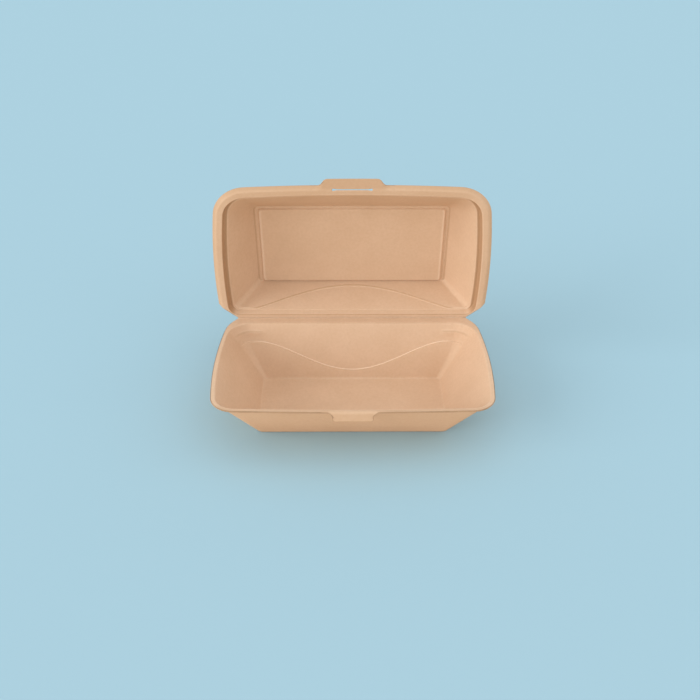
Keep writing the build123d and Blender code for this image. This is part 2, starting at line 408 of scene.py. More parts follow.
def resample(path, shares):
    """Points at shares of the path's length."""
    steps = np.hypot(*np.diff(path, axis=0).T)
    along = np.concatenate([[0], np.cumsum(steps)])
    along /= along[-1]
    return np.stack([np.interp(shares, along, path[:, 0]), np.interp(shares, along, path[:, 1])], 1)


def both_sides(half):
    """The whole loop from its right half: the left half is its mirror image."""
    mirrored = half[-2:0:-1] * np.array([-1, 1])
    return np.concatenate([half, mirrored])


def at_height(plan, z):
    """Plan points at a height."""
    return np.concatenate([plan, np.full((len(plan), 1), z)], 1)


def outward(plan):
    """Outward unit normals of a closed loop that runs anticlockwise."""
    along = np.roll(plan, -1, 0) - np.roll(plan, 1, 0)
    return unit(np.stack([along[:, 1], -along[:, 0]], 1))


def hits(origins, directions, border):
    """Where rays from the origins first meet a closed border, in plan."""
    span = np.roll(border, -1, 0) - border
    rel = border[None] - origins[:, None]
    cross = directions[:, None, 0] * span[None, :, 1] - directions[:, None, 1] * span[None, :, 0]
    cross = np.where(np.abs(cross) < 1e-15, 1e-15, cross)
    ray = (rel[..., 0] * span[None, :, 1] - rel[..., 1] * span[None, :, 0]) / cross
    edge = (rel[..., 0] * directions[:, None, 1] - rel[..., 1] * directions[:, None, 0]) / cross
    good = (ray > 1e-9) & (edge > -1e-6) & (edge < 1 + 1e-6)
    reach = np.where(good, ray, np.inf).min(1)
    return origins + directions * reach[:, None]


def snapped(points, corners):
    """The points with the nearest one to each sharp corner moved onto it."""
    for corner in corners:
        nearest = np.argmin(np.hypot(*(points - corner).T))
        points[nearest] = corner
    return points


def rounded_rings(stations, radii, arc_steps, line_shares):
    """Rings of points along the chain of stations, with a round fold at each inner one.

    A station is one point for each column. line_shares holds, for each stretch between
    folds, the shares at which it has rings: one list, or one list for each column.
    Also returns the first ring and the number of rings of each stretch and fold.
    """
    rings = []
    marks = {}
    starts = [stations[0]]
    folds = []
    for k in range(1, len(stations) - 1):
        before, here, after = stations[k - 1:k + 2]
        a, b = unit(here - before), unit(after - here)
        cosine = np.clip((a * b).sum(-1), -1, 1)
        half_turn = np.arccos(cosine) / 2
        room = FOLD_ROOM * np.minimum(
            np.linalg.norm(here - before, axis=-1), np.linalg.norm(after - here, axis=-1)
        )
        lead = np.minimum(radii[k - 1] * np.tan(half_turn), room)
        radius = lead / np.maximum(np.tan(half_turn), 1e-9)
        side = unit(b - a * cosine[:, None] + 1e-15)
        begin = here - a * lead[:, None]
        fold = []
        for share in np.linspace(0, 1, arc_steps[k - 1] + 1):
            turn = 2 * half_turn * share
            fold.append(
                begin + a * (radius * np.sin(turn))[:, None]
                + side * (radius * (1 - np.cos(turn)))[:, None]
            )
        folds.append(fold)
    ends = [f[0] for f in folds] + [stations[-1]]
    starts += [f[-1] for f in folds]
    for k, (start, end) in enumerate(zip(starts, ends)):
        marks["line", k] = len(rings), len(line_shares[k])
        for share in line_shares[k]:
            share = np.broadcast_to(share, len(start))[:, None]
            rings.append(start + (end - start) * share)
        if k < len(folds):
            marks["fold", k + 1] = len(rings), len(folds[k])
            rings.extend(folds[k])
    return rings, marks


def wave_height(x, ends, middle, half, power):
    """The wave ledge's height over x: ends beside the wave, middle at its middle."""
    across = np.clip(np.abs(x) / half, 0, 1)
    return ends + (middle - ends) * ((1 + np.cos(math.pi * across)) / 2) ** power


def wall_shares(foot_plan, foot_z, rim_plan, rim_z, wave, half, power):
    """Shares of the wall for its rings, so that a narrow band of them follows the wave.

    Also returns how many rings lie below the band, and how far each of its own is drawn in.
    """
    heights = [rim_z - share * (rim_z - foot_z) for share in wave]
    share = np.full(len(foot_plan), 0.5)
    for _ in range(WAVE_TRIES):
        x = foot_plan[:, 0] + (rim_plan[:, 0] - foot_plan[:, 0]) * share
        share = (wave_height(x, *heights, half, power) - foot_z) / (rim_z - foot_z)
    length = np.hypot(np.linalg.norm(rim_plan - foot_plan, axis=1), rim_z - foot_z)
    low, high = share - WAVE_BAND / length / 2, share + WAVE_BAND / length / 2
    guard = WAVE_GUARD / length
    below = [(low - guard) * s for s in [GUARD, *np.linspace(0, 1, RINGS_BELOW)[1:]]]
    over = np.linspace(0, 1, RINGS_OVER)
    step = [low + (high - low) * s for s in over]
    start = high + guard
    above = [start + (1 - start) * s for s in [*np.linspace(0, 1, RINGS_ABOVE)[:-1], 1 - GUARD]]
    return below + step + above, len(below), list(1 - ease(over))


def with_wave(nominal, drawn_in, lower, step):
    """The nominal rings above the wave ledge, and the rings drawn in below it."""
    weights = [1.0] * lower + step + [0.0] * (len(nominal) - lower - len(step))
    return [a + (b - a) * weight for weight, a, b in zip(weights, nominal, drawn_in)]


def grid_faces(rings, columns):
    """Quads between neighbouring rings, and a fan round the middle point, number 0."""
    faces = [(0, 1 + i, 1 + (i + 1) % columns) for i in range(columns)]
    for k in range(rings - 1):
        a, b = 1 + k * columns, 1 + (k + 1) * columns
        for i in range(columns):
            j = (i + 1) % columns
            faces.append((a + i, b + i, b + j, a + j))
    return faces


def corner_normals(points, faces):
    """Unit normals at the points, averaged from the faces round them."""
    normals = np.zeros_like(points)
    for size in (3, 4):
        group = np.array([f for f in faces if len(f) == size])
        a, b, c, d = (points[group[:, k]] for k in (0, 1, 2, -1))
        face_normals = np.cross(b - a, c - a) if size == 3 else np.cross(c - a, d - b)
        for corner in range(size):
            np.add.at(normals, group[:, corner], face_normals)
    return unit(normals)


def linked(name, data):
    """A new object of this data, in the scene."""
    obj = bpy.data.objects.new(name, data)
    bpy.context.scene.collection.objects.link(obj)
    return obj


def smooth_mesh(name, verts, faces):
    """A new mesh, shaded smooth."""
    mesh = bpy.data.meshes.new(name)
    mesh.from_pydata([tuple(v) for v in verts], [], faces)
    mesh.validate()
    mesh.shade_smooth()
    return mesh


def pressed_sheet(name, points, faces, painted_light):
    """A closed mesh: the sheet's inner side, its outer side and a round edge all along.

    The painted shade and highlights of the inner side's points, without the middle one, go on as an
    attribute, and the round edge takes them from the points beside it.
    """
    normals = corner_normals(points, faces)
    uses = {}
    for face in faces:
        for p, q in zip(face, face[1:] + face[:1]):
            uses[(p, q)] = True
    border = [(p, q) for p, q in uses if (q, p) not in uses]
    outside = np.zeros_like(points)
    for p, q in border:
        away = np.cross(points[q] - points[p], normals[p] + normals[q])
        away /= max(np.linalg.norm(away), 1e-12)
        outside[p] += away
        outside[q] += away
    outside = unit(outside)
    on_border = sorted({p for edge in border for p in edge})
    place = {p: k for k, p in enumerate(on_border)}
    points = points - outside * SHEET / 2
    inner, outer = points, points - normals * SHEET
    middle = (inner[on_border] + outer[on_border]) / 2
    rolls = []
    for k in range(1, EDGE_STEPS):
        turn = math.pi * k / EDGE_STEPS
        away = math.cos(turn) * normals[on_border] + math.sin(turn) * outside[on_border]
        rolls.append(middle + SHEET / 2 * away)
    count = len(points)
    verts = np.concatenate([inner, outer] + rolls)

    def at(level, p):
        if level == 0:
            return p
        if level == EDGE_STEPS:
            return count + p
        return 2 * count + (level - 1) * len(on_border) + place[p]

    all_faces = list(faces) + [tuple(count + p for p in reversed(f)) for f in faces]
    for p, q in border:
        for level in range(EDGE_STEPS):
            all_faces.append((at(level, q), at(level, p), at(level + 1, p), at(level + 1, q)))
    mesh = smooth_mesh(name, verts, all_faces)
    # Painted shade and highlights, one value for each point, for the material
    darkness = np.zeros(len(verts), np.float32)
    darkness[1:count] = painted_light.ravel()
    darkness[2 * count:] = np.tile(painted_light.ravel()[np.array(on_border) - 1], EDGE_STEPS - 1)
    mesh.attributes.new("darkness", "FLOAT", "POINT").data.foreach_set("value", darkness)
    return linked(name, mesh)


def front_columns(plan, zone):
    """The columns whose first point lies in the front, within the zone either side."""
    columns = FRONT_NEAR + FRONT_FAR + 1
    right = np.arange(columns)
    left = (len(plan) - right) % len(plan)
    found = np.unique(np.concatenate([right, left]))
    return found[np.abs(plan[found, 0]) < zone]


def edge_targets(columns, x, path, zone):
    """Where each front column ends on the path, which runs from the middle to the right."""
    shares = np.abs(x[columns]) / zone
    ends = resample(path, shares)
    ends[:, 0] *= np.sign(x[columns]) + (x[columns] == 0)
    return ends


def tongue_point(x, t, front_y):
    """A point on the flange and tongue: t is the distance from the cavity's edge."""
    flat_end = BASE_FLANGE - TONGUE_BEND
    turn = np.clip((t - flat_end) / TONGUE_BEND, 0, math.pi / 2)
    down = np.maximum(t - flat_end - TONGUE_BEND * math.pi / 2, 0)
    bent_y = -np.minimum(t, flat_end) - TONGUE_BEND * np.sin(turn)
    bent_z = -TONGUE_BEND * (1 - np.cos(turn)) - down
    weight = 1 - ease((np.abs(x) - TONGUE_WIDTH / 2 - TONGUE_FLARE / 2) / (TONGUE_BEND * 2))
    y = -t + (bent_y + t) * weight
    z = bent_z * weight
    return np.stack([x, front_y + y, RIM_TOP + z], -1)


def base_edge():
    """The flange's outline in plan, anticlockwise from the front's middle."""
    crease = CREASE_Y - CREASE_GAP / 2
    shoulder = crease - SHOULDER_DEPTH
    body = Outline(
        BASE_WIDTH / 2, FRONT_Y, shoulder, WIDEST_Y, BASE_SIDE_RADIUS, BASE_FRONT_BOW,
        BASE_FRONT_RADIUS, SHEET,
    )
    half = body.half()
    side = half[half[:, 1] < shoulder - SHOULDER_CLEAR]
    side_end = side[-1] + unit(side[-1] - side[-2]) * (shoulder - side[-1][1])
    crease_end = np.array([CREASE_LENGTH / 2, crease])
    arm = SHOULDER_RADIUS * math.tan(SHOULDER_TURN)
    keep = side[side[:, 1] < shoulder - arm]
    corner = soft_path([keep[-1], side_end, crease_end], arm)
    half = np.concatenate([keep, corner, [[0.0, crease]]])
    return both_sides(half), [crease_end, crease_end * np.array([-1, 1])]


def lug_share(points):
    """How fully the small corner steps run at each point in plan, from 0 to 1."""
    x, back = np.abs(points[..., 0]), CREASE_Y - points[..., 1]
    share = ramp(x, *LUG_SPAN[:2]) * (1 - ramp(x, *LUG_SPAN[2:]))
    return share * (1 - ramp(back, *LUG_REACH))


def with_lugs(ring):
    """The ring pushed inwards where the small corner steps cross it."""
    depth = (RIM_TOP - ring[:, 2]) / (RIM_TOP - SHEET)
    push = ramp(depth, *LUG_TOP) * lug_share(ring) * (1 - ramp(depth, *LUG_FADE))
    moved = ring.copy()
    moved[:, :2] -= outward(ring[:, :2]) * (push * LUG_STEP)[:, None]
    return moved


def crisp_corners(rings, rim_plan):
    """The rings with tighter hinge-side corners low on the wall, which open out to the rim."""
    first = FRONT_NEAR + FRONT_FAR + CORNER_COLUMNS + SIDE_COLUMNS
    right = np.arange(first, first + CORNER_COLUMNS + 1)
    left = len(rim_plan) - right
    away = outward(rim_plan)
    side, back = away[right[0] - 1], away[right[-1] + 1]
    lead = (side + back) / (1 + side @ back)
    moved = []
    for ring in rings:
        ring = ring.copy()
        share = np.clip((ring[:, 2] - SHEET) / (RIM_TOP - SHEET), 0, 1)
        spare = (BASE_BACK_RADIUS - FOOT_RADIUS) * (share - share**3)
        ring[right, :2] += spare[right, None] * (lead - away[right])
        ring[left, :2] += spare[left, None] * (lead * [-1, 1] - away[left])
        moved.append(ring)
    return moved


def base_painted_shading(rings, rim_plan, marks, wave):
    """Painted shade in the base's folds, creases and edges, where shade falls: one value for each
    point.

    Values under 0 are a painted highlight, on the wave ledge's crest.
    """
    painted_light = np.zeros(rings.shape[:2])
    hinge_side = rim_plan[:, 1] > 0
    on_wave = ramp(np.abs(rings[wave, :, 0]), *BASE_WAVE_FADE) * hinge_side
    # Painted shade under the wave ledge, and a painted highlight on its crest
    painted_light[wave:wave + 2] = BASE_SHADE_UNDER_WAVE * on_wave
    painted_light[wave + 4:wave + RINGS_OVER] = BASE_HIGHLIGHT_OVER_WAVE * on_wave
    # Painted shade along the small corner steps
    depth = (RIM_TOP - rings[:, :, 2]) / (RIM_TOP - SHEET)
    lug = ramp(np.abs(depth - LUG_TOP[1]), *LUG_DARK_FADE) * lug_share(rings)
    painted_light += BASE_SHADE_LUG * lug * hinge_side
    # Painted shade in the hinge-side fold, and over the flange and its edge, strongest at the front
    fold, count = marks["fold", 2]
    facing = outward(rim_plan)[:, 1]
    straight = ramp(np.abs(facing), *FACES_HINGE) * hinge_side
    painted_light[fold + 1:fold + count - 1] += BASE_SHADE_HINGE_FOLD * straight
    front = ramp(-facing, *FACES_FRONT)
    painted_light[fold + count:-1] = BASE_SHADE_RIM + BASE_SHADE_RIM_FRONT * front
    painted_light[-1] = BASE_SHADE_EDGE + BASE_SHADE_EDGE_FRONT * front
    return painted_light


def build_base():
    """The base tray's sheet, with wave ledge, flange and locking tongue."""
    rim = Outline(
        BASE_WIDTH / 2 - BASE_FLANGE, FRONT_Y + BASE_FLANGE, CREASE_Y - BASE_LAND, WIDEST_Y,
        BASE_SIDE_RADIUS - BASE_FLANGE, BASE_FRONT_BOW, BASE_FRONT_RADIUS - BASE_FLANGE,
        BASE_BACK_RADIUS,
    )
    foot = Outline(
        FOOT_WIDTH / 2, -FOOT_DEPTH / 2, FOOT_DEPTH / 2, 0, STRAIGHT, 0, FOOT_RADIUS, FOOT_RADIUS
    ).grown(-LEVEL_SHEET)
    rim_plan = both_sides(rim.half(BASE_NEAR))
    foot_plan = both_sides(foot.half(BASE_NEAR))
    border, sharp = base_edge()
    edge_plan = snapped(hits(rim_plan, outward(rim_plan), border), sharp)
    shares, below, step = wall_shares(
        foot_plan, SHEET, rim_plan, RIM_TOP, BASE_WAVE, BASE_WAVE_HALF, BASE_WAVE_POWER
    )
    flange_shares = np.linspace(0, 1, FLANGE_RINGS + 1)[1:]

    def rings_for(shift):
        plans = [both_sides(o.grown(0, 0, -shift).half(BASE_NEAR)) for o in (foot, rim)]
        stations = [
            at_height(plans[0] * 0, SHEET), at_height(plans[0], SHEET),
            at_height(plans[1], RIM_TOP), at_height(edge_plan, RIM_TOP),
        ]
        radii = [FLOOR_FOLD, RIM_FOLD]
        line_shares = [FLAT_SHARES, shares, flange_shares]
        return rounded_rings(stations, radii, BASE_FOLD_STEPS, line_shares)

    (nominal, marks), (drawn_in, _) = rings_for(0), rings_for(WAVE_STEP)
    lower = marks["line", 1][0] + below
    rings = with_wave(nominal, drawn_in, lower, step)
    rings = [with_lugs(ring) for ring in crisp_corners(rings, rim_plan)]
    start_ring = len(rings) - len(flange_shares) - 1
    start = rings[start_ring]
    columns = front_columns(rim_plan, TONGUE_ZONE)
    tip = BASE_FLANGE - TONGUE_BEND + TONGUE_BEND * math.pi / 2 + TONGUE_DROP - TONGUE_BEND
    half = TONGUE_WIDTH / 2
    path = np.concatenate([
        [[0, tip]],
        soft_path([
            (half - 2 * TONGUE_CORNER, tip), (half, tip), (half, BASE_FLANGE + TONGUE_CORNER),
        ], TONGUE_CORNER),
        soft_path([
            (half, BASE_FLANGE + FLARE_REACH), (half, BASE_FLANGE),
            (half + FLARE_REACH, BASE_FLANGE),
        ], FLARE_LEAD),
        [[TONGUE_ZONE, BASE_FLANGE]],
    ])
    targets = edge_targets(columns, rim_plan[:, 0], path, TONGUE_ZONE)
    cavity_y = rim_plan[columns, 1]
    begin_x, begin_t = start[columns, 0], cavity_y - start[columns, 1]
    for share, ring in zip(flange_shares, rings[start_ring + 1:]):
        x = begin_x + (targets[:, 0] - begin_x) * share
        t = begin_t + (targets[:, 1] - begin_t) * share
        ring[columns] = tongue_point(x, t, cavity_y)
    points = np.concatenate([[[0, 0, SHEET]]] + rings)
    painted_light = base_painted_shading(np.array(rings), rim_plan, marks, lower)
    return pressed_sheet("base_tray_shell", points, grid_faces(len(rings), len(rim_plan)), painted_light)


def lid_border(edge):
    """The lid's outline in plan: its edge, cut by the crease and the two cut corners."""
    half = edge.half()
    crease = -CREASE_GAP / 2
    limit = LID_WIDTH / 2 - CREASE_LENGTH / 2
    cut_y = -(half[:, 0] - CREASE_LENGTH / 2) * LID_CHAMFER_DEPTH / limit
    keep = half[(half[:, 1] < np.minimum(cut_y, crease)) | (half[:, 1] < LID_FRONT / 2)]
    last = keep[-1]
    on_cut = last + np.array([0, 1]) * (
        -(last[0] - CREASE_LENGTH / 2) * LID_CHAMFER_DEPTH / limit - last[1]
    )
    crease_end = np.array([CREASE_LENGTH / 2, crease])
    border = both_sides(np.concatenate([keep, [on_cut, crease_end, [0.0, crease]]]))
    sharp = [crease_end, crease_end * np.array([-1, 1]), on_cut, on_cut * np.array([-1, 1])]
    return border, sharp


def beyond(points, border):
    """How far each plan point lies outside a closed border, 0 inside."""
    span = (np.roll(border, -1, 0) - border)[None]
    rel = points[:, None] - border[None]
    along = np.clip((rel * span).sum(-1) / (span**2).sum(-1), 0, 1)
    away = rel - span * along[..., None]
    distance = np.hypot(away[..., 0], away[..., 1])
    nearest = distance.argmin(1)
    rows = np.arange(len(points))
    (x, y), (along_x, along_y) = rel[rows, nearest].T, span[0, nearest].T
    return np.where(x * along_y - y * along_x > 0, distance[rows, nearest], 0)


def lip_drop(distance):
    """How far the lip has dropped at a distance outside the flat, with a soft start."""
    slope = LIP_DROP / LIP_WIDTH
    soft = SMALL_FOLD
    return slope * np.where(distance < soft, distance**2 / (2 * soft), distance - soft / 2)


def tab_point(x, t, recess_y, edge_z):
    """A point on the lid's front rim: t is the distance from the recess."""
    root = LIP_WIDTH + RIM_FLAT - SLOT_SETBACK
    past = t - root
    soft = SMALL_FOLD
    bend = np.where(np.abs(past) < soft, (past + soft)**2 / (4 * soft), np.maximum(past, 0))
    tab_y = -t + bend * (1 - math.cos(TAB_TILT))
    tab_z = -bend * math.sin(TAB_TILT)
    lip_z = -lip_drop(np.maximum(t - RIM_FLAT, 0))
    weight = 1 - ease((np.abs(x) - TAB_ROOT / 2 + TAB_CORNER) / (2 * TAB_CORNER))
    y = -t + (tab_y + t) * weight
    z = lip_z + (tab_z - lip_z) * weight
    return np.stack([x, recess_y + y, edge_z + z], -1)


def build_lid():
    """The lid tray's sheet in its tray pose, with panel, wave ledge, stepped rim and tab."""
    edge = Outline(
        LID_WIDTH / 2, LID_FRONT, LIP_WIDTH + SHEET, LID_WIDEST, LID_SIDE_RADIUS, LID_FRONT_BOW,
        LID_CORNER_RADIUS, 2 * LIP_WIDTH,
    )
    flat = edge.grown(-LIP_WIDTH)
    rim_width = LIP_WIDTH + RIM_FLAT
    recess = Outline(
        LID_WIDTH / 2 - rim_width, LID_FRONT + rim_width, -HINGE_LAND, LID_WIDEST,
        LID_SIDE_RADIUS - rim_width, LID_FRONT_BOW, LID_CORNER_RADIUS - rim_width, RECESS_CORNER,
    )
    ledge = recess.grown(-SKIRT_RUN, -SKIRT_RUN, -HINGE_LEDGE)
    mouth = ledge.grown(-LEDGE_WIDTH, -LEDGE_WIDTH, -LEAST_LEDGE)
    top = Outline(
        TOP_WIDTH / 2, -TOP_SETBACK - TOP_DEPTH, -TOP_SETBACK, LID_WIDEST, STRAIGHT, 0,
        TOP_RADIUS, TOP_RADIUS,
    )
    panel = top.grown(-PANEL_SIDE_BORDER, -PANEL_END_BORDER, -PANEL_END_BORDER)
    panel = panel.rounded(PANEL_RADIUS)
    bevel = panel.grown(PANEL_BEVEL)
    face = -CREASE_GAP / 2
    near = TAB_ZONE / (recess.half_width - recess.front_radius)
    border, sharp = lid_border(edge)
    flat_border = both_sides(flat.half(near))
    recess_plan = both_sides(recess.half(near))
    edge_plan = snapped(hits(recess_plan, outward(recess_plan), border), sharp)
    across = edge_plan - recess_plan
    rim_start = np.minimum(RIM_START, RIM_START_SHARE * np.hypot(*across.T))[:, None]
    top_plan, mouth_plan = both_sides(top.half(near)), both_sides(mouth.half(near))
    shares, below, step = wall_shares(
        top_plan, -LID_DEPTH, mouth_plan, -SKIRT_DROP, LID_WAVE, LID_WAVE_HALF, LID_WAVE_POWER
    )
    centre = np.array([0, (top.front + top.back) / 2])
    guards = [GUARD, 0.5, 1 - GUARD]
    line_shares = [FLAT_SHARES, [], guards, shares, guards, guards, []]

    def rings_for(shift):
        plans = [both_sides(o.grown(0, 0, -shift).half(near)) for o in (top, mouth)]
        stations = [
            at_height(recess_plan * 0 + centre, -LID_DEPTH + PANEL_RISE),
            at_height(both_sides(panel.half(near)), -LID_DEPTH + PANEL_RISE),
            at_height(both_sides(bevel.half(near)), -LID_DEPTH),
            at_height(plans[0], -LID_DEPTH),
            at_height(plans[1], -SKIRT_DROP),
            at_height(both_sides(ledge.half(near)), -SKIRT_DROP),
            at_height(recess_plan, face),
            at_height(recess_plan + unit(across) * rim_start, face),
        ]
        radii = [PANEL_FOLD, PANEL_FOLD, FLOOR_FOLD, SMALL_FOLD, SMALL_FOLD, SMALL_FOLD]
        return rounded_rings(stations, radii, LID_FOLD_STEPS, line_shares)

    (nominal, marks), (drawn_in, _) = rings_for(0), rings_for(WAVE_STEP)
    lower = marks["line", 3][0] + below
    rings = with_wave(nominal, drawn_in, lower, step)
    rings += lid_rim_rings(rings[-1], recess_plan, edge_plan, flat_border, face)
    painted_light = lid_painted_shading(np.array(rings), recess_plan, marks, lower, flat_border)
    faces = slotted(grid_faces(len(rings), len(recess_plan)), rings, len(recess_plan))
    points = np.concatenate([[[*centre, -LID_DEPTH + PANEL_RISE]]] + rings)
    return pressed_sheet("lid_tray_shell", points, faces, painted_light)


def lid_painted_shading(rings, recess_plan, marks, wave, flat_border):
    """Painted shade in the lid's groove, folds, creases, rim and edges, where shade falls: one
    value for each point.

    Values under 0 are a painted highlight, on the raised panel's edge.
    """
    painted_light = np.zeros(rings.shape[:2])
    facing = ramp(np.abs(outward(recess_plan)[:, 0]), *FACES_SIDE)
    hinge_side = recess_plan[:, 1] > LID_FRONT / 2
    skirt, land = marks["line", 4][0], marks["fold", 6][0]
    least = np.where(hinge_side, LID_SHADE_SKIRT_HINGE, LID_SHADE_SKIRT_FRONT)
    # Painted shade in the rim's groove by the skirt, and along the hinge-side land
    painted_light[skirt:land + 2] = np.maximum(facing, least)
    painted_light[skirt] *= LID_SHADE_SKIRT_START
    painted_light[land:land + 4] += LID_SHADE_LAND * hinge_side * (1 - facing)
    # Painted shade in the fold round the lid's top, and a painted highlight on the panel's edge
    fold, count = marks["fold", 3]
    painted_light[fold + 1:fold + count - 1] = LID_SHADE_TOP_FOLD * facing
    fold, count = marks["fold", 1]
    painted_light[fold:fold + count + 1] = LID_HIGHLIGHT_PANEL_EDGE * facing
    # Painted shade under the wave ledge
    on_wave = ramp(np.abs(rings[wave, :, 0]), *LID_WAVE_FADE) * hinge_side
    painted_light[wave:wave + 4] = LID_SHADE_UNDER_WAVE * on_wave
    # Painted shade over the rim, lip and edge, less on the sides and none near the hinge
    off_hinge = 1 - ramp(recess_plan[:, 1], *NEAR_HINGE)
    rim = (LID_SHADE_RIM + LID_SHADE_RIM_SIDES * facing) * off_hinge
    for k in range(len(rings) - RIM_RINGS, len(rings)):
        out = beyond(rings[k][:, :2], flat_border)
        painted_light[k] = rim + LID_SHADE_LIP * ramp(out, *LIP_FADE)
    painted_light[-1] += LID_SHADE_EDGE * off_hinge
    return painted_light


def lid_rim_rings(start, recess_plan, edge_plan, flat_border, face):
    """Rings over the lid's flat rim and lip, and out over the tab at the front."""
    columns = front_columns(recess_plan, TAB_ZONE)
    root = LIP_WIDTH + RIM_FLAT - SLOT_SETBACK
    edge_t = LIP_WIDTH + RIM_FLAT
    tip_t = root + SLOT_SETBACK + TAB_REACH
    path = np.concatenate([
        [[0, tip_t]],
        soft_path([
            (TAB_TIP / 2 - 2 * TAB_CORNER, tip_t), (TAB_TIP / 2, tip_t), (TAB_ROOT / 2, edge_t),
            (TAB_ROOT / 2 + 2 * TAB_CORNER, edge_t),
        ], TAB_LEAD),
        [[TAB_ZONE, edge_t]],
    ])
    x = recess_plan[:, 0]
    targets = edge_targets(columns, x, path, TAB_ZONE)
    recess_y = recess_plan[columns, 1]
    begin_x = start[columns, 0]
    begin_t = recess_y - start[columns, 1]
    end = ease((np.abs(begin_x) - SLOT_LENGTH / 2 + 2 * SLOT_END) / (SLOT_END / 2))
    end = end * (1 - ease((np.abs(begin_x) - SLOT_LENGTH / 2) / (SLOT_END / 2)))
    slit = (SLOT_WIDTH + (SLOT_END - SLOT_WIDTH) * end) / 2
    slot_t = [root - slit, root + slit]
    rings = []
    for k in range(1, RIM_RINGS + 1):
        share = k / RIM_RINGS
        plan = start[:, :2] + (edge_plan - start[:, :2]) * share
        ring = at_height(plan, face)
        ring[:, 2] -= lip_drop(beyond(plan, flat_border))
        if k <= SLOT_FIRST:
            t = begin_t + (slot_t[0] - begin_t) * k / SLOT_FIRST
        elif k <= SLOT_LAST:
            t = slot_t[0] + (slot_t[1] - slot_t[0]) * (k - SLOT_FIRST) / (SLOT_LAST - SLOT_FIRST)
        else:
            t = slot_t[1] + (targets[:, 1] - slot_t[1]) * (k - SLOT_LAST) / (RIM_RINGS - SLOT_LAST)
        fan = max(k - SLOT_LAST, 0) / (RIM_RINGS - SLOT_LAST)
        ring[columns] = tab_point(begin_x + (targets[:, 0] - begin_x) * fan, t, recess_y, face)
        rings.append(ring)
    return rings


def slotted(faces, rings, columns):
    """The faces without those of the slot for the tongue."""
    first = len(rings) - RIM_RINGS + SLOT_FIRST - 1
    last = len(rings) - RIM_RINGS + SLOT_LAST - 1
    kept = []
    x = np.concatenate([[0.0]] + [ring[:, 0] for ring in rings])
    for face in faces:
        ring = (min(face) - 1) // columns
        front = all(rings[(p - 1) // columns][(p - 1) % columns, 1] < LID_FRONT / 2 for p in face)
        inside = all(abs(x[p]) < SLOT_LENGTH / 2 for p in face)
        if not (first <= ring < last and front and inside):
            kept.append(face)
    return kept


def stand_open(lid):
    """Turns the lid from its tray pose to where it stands open over the crease."""
    coords = np.empty(len(lid.data.vertices) * 3)
    lid.data.vertices.foreach_get("co", coords)
    coords = coords.reshape(-1, 3)
    flipped = coords * np.array([-1, -1, 1])
    turn = math.pi / 2 + LID_LEAN
    y = flipped[:, 1] * math.cos(turn) - flipped[:, 2] * math.sin(turn)
    z = flipped[:, 1] * math.sin(turn) + flipped[:, 2] * math.cos(turn)
    placed = np.stack([flipped[:, 0], y + CREASE_Y, z + BASE_HEIGHT], 1)
    lid.data.vertices.foreach_set("co", placed.ravel())
    lid.data.update()


def hinge_crease():
    """The sheet's bend along the crease, between the base's edge and the lid's edge."""
    inner = CREASE_GAP / 2 + CREASE_INSET
    outer = CREASE_GAP / 2 + SHEET - CREASE_INSET
    first, last = -math.pi / 2, LID_LEAN
    tucks = {
        first: np.array([math.sin(first), -math.cos(first)]) * CREASE_TUCK,
        last: np.array([-math.sin(last), math.cos(last)]) * CREASE_TUCK,
    }
    profile = []
    for radius, begin, end in ((inner, first, last), (outer, last, first)):
        arc = arc_points((0, 0), radius, begin, end, CURVE_STEPS)
        profile += [arc[0] + tucks[begin], *arc, arc[-1] + tucks[end]]
    xs = np.linspace(-CREASE_LENGTH / 2, CREASE_LENGTH / 2, CREASE_COLUMNS + 1)
    count = len(profile)
    verts = [(x, CREASE_Y + y, BASE_HEIGHT + z) for x in xs for y, z in profile]
    faces = [tuple(range(count)), tuple(reversed(range(len(verts) - count, len(verts))))]
    for a in range(0, CREASE_COLUMNS * count, count):
        for i in range(count):
            j = (i + 1) % count
            faces.append((a + j, a + i, a + count + i, a + count + j))
    return linked("hinge_crease", smooth_mesh("hinge_crease", verts, faces))


def mixed(tree, share, first, second):
    """A mix of two colours, each a value or the output of another node."""
    node = tree.nodes.new("ShaderNodeMix")
    node.data_type = "RGBA"
    tree.links.new(share, node.inputs[0])
    for socket, colour in ((node.inputs[6], first), (node.inputs[7], second)):
        if isinstance(colour, tuple):
            socket.default_value = colour
        else:
            tree.links.new(colour, socket)
    return node.outputs[2]


